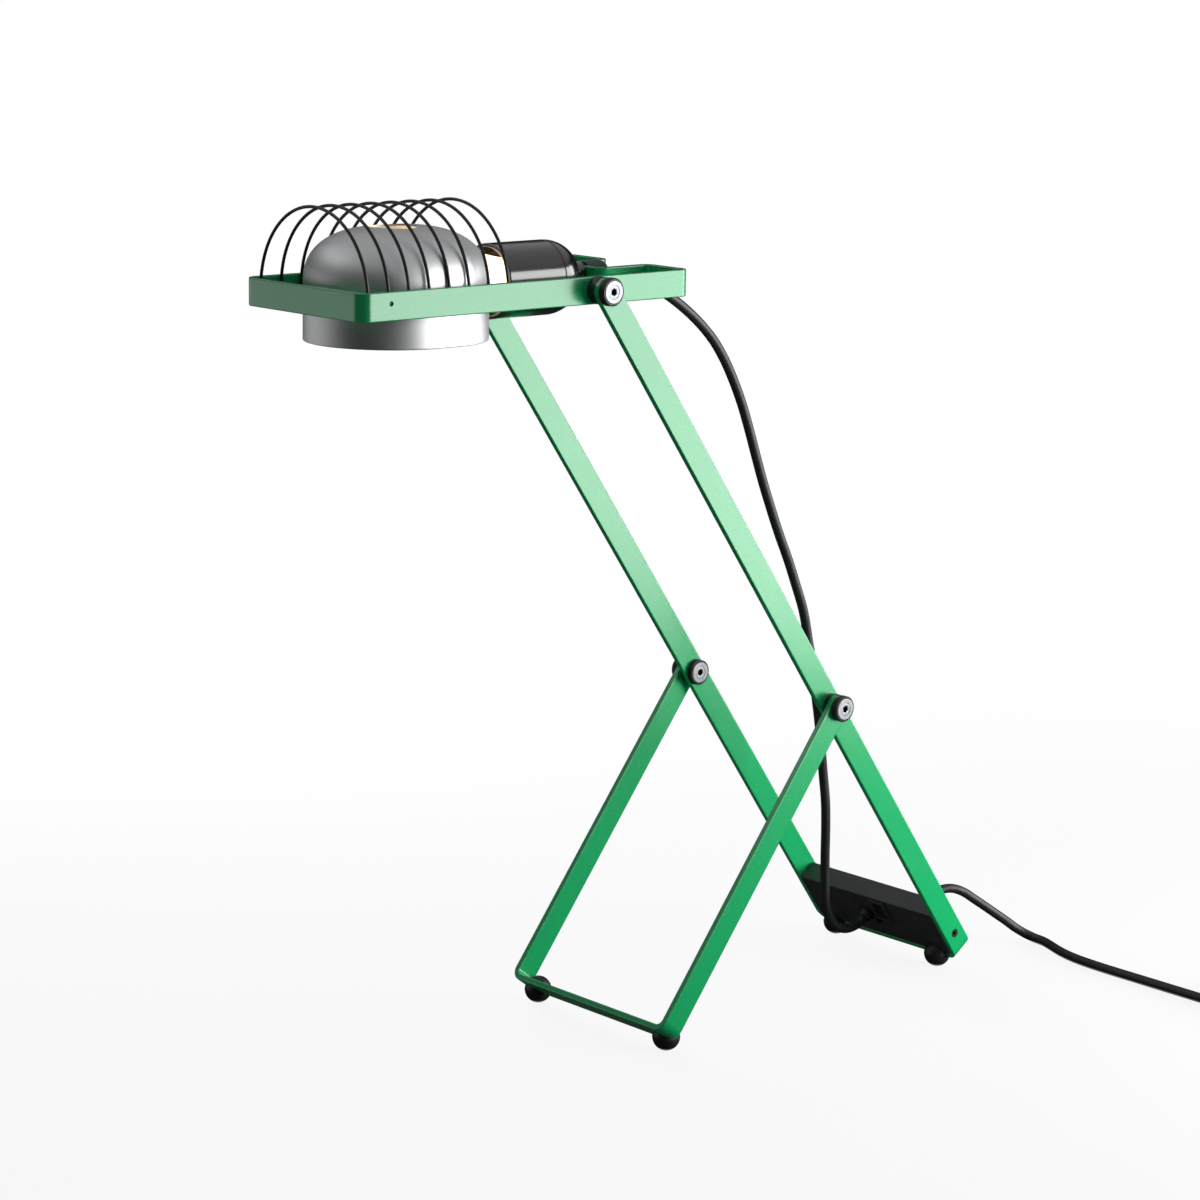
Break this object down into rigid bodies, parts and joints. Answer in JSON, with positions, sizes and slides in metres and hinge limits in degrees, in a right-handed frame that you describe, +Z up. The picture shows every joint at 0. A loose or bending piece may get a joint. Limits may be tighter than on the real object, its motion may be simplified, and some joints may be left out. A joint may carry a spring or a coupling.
{
  "type": "desk lamp",
  "caption": "Folding desk lamp of bent flat strip: two hinged U frames on ball feet carry a tilting head with a reflector, a bulb and a wire guard.",
  "frame": {"origin": "middle of the lamp's box, at the floor that the ball feet stand on, without the mains lead", "axes": "+Z up, X along the pivots, -Y the way the head reaches, +X towards the mains lead's coil"},
  "size_m": [0.3981, 0.749, 0.5461],
  "materials": {
    "green_lacquer": "satin",
    "black_rubber": "matt",
    "black_plastic": "matt",
    "bright_steel": "turned",
    "black_screw": "blackened",
    "box_plastic": "satin",
    "holder_plastic": "gloss",
    "reflector_aluminium": "satin spun",
    "black_wire": "satin",
    "white_ceramic": "glazed",
    "contact_brass": "bright",
    "opal_glass": "opal",
    "lamp_cap_metal": "rolled",
    "cord_rubber": "satin",
    "plug_plastic": "matt"
  },
  "bodies": {
    "stand": {"long_frame": "green_lacquer", "rear_feet": "black_rubber", "mid_bolts": "bright_steel", "mid_outer_caps": "black_plastic", "mid_spacers": "black_plastic", "mid_inner_caps": "black_plastic", "mid_sleeve_nuts": "bright_steel", "head_bolts": "bright_steel", "head_outer_caps": "black_plastic", "head_spacers": "black_plastic", "head_washers": "black_plastic", "head_sleeve_nuts": "bright_steel", "base_shell": "box_plastic", "base_cover": "box_plastic", "cover_screws": "bright_steel", "side_screws": "black_screw", "clamp_screw": "black_screw", "cord_clamp": "bright_steel", "terminal_block": "white_ceramic", "switch_housing": "box_plastic", "flex_gland": "black_rubber", "lead_gland": "black_rubber", "head_flex": "cord_rubber", "mains_lead": "cord_rubber", "mains_coil": "cord_rubber", "mains_tail": "cord_rubber", "plug_body": "plug_plastic", "plug_pins": "bright_steel"},
    "legs": {"short_frame": "green_lacquer", "front_feet": "black_rubber"},
    "head": {"head_frame": "green_lacquer", "reflector": "reflector_aluminium", "reflector_studs": "bright_steel", "reflector_nuts": "bright_steel", "wire_guard": "black_wire", "holder_shell": "holder_plastic", "holder_cap": "holder_plastic", "holder_insulator": "white_ceramic", "screw_shell": "contact_brass", "centre_contact": "contact_brass", "holder_nipple": "bright_steel", "holder_gland": "black_plastic", "bulb_glass": "opal_glass", "bulb_cap": "lamp_cap_metal"},
    "rocker": {"switch_rocker": "holder_plastic"}
  },
  "joints": [
    {"name": "leg_fold", "type": "hinge", "parent": "stand", "child": "legs", "pos_m": [0, 0.11877, 0.20667], "axis": [1, 0, 0], "range_deg": [-66, 64]},
    {"name": "head_tilt", "type": "hinge", "parent": "stand", "child": "head", "pos_m": [0, -0.08448, 0.49161], "axis": [1, 0, 0], "range_deg": [-60, 115], "deforming": ["head_flex"]},
    {"name": "switch_rock", "type": "hinge", "parent": "stand", "child": "rocker", "pos_m": [0.01, 0.23254, 0.03356], "axis": [1, 0, 0], "range_deg": [0, 14]}
  ]
}
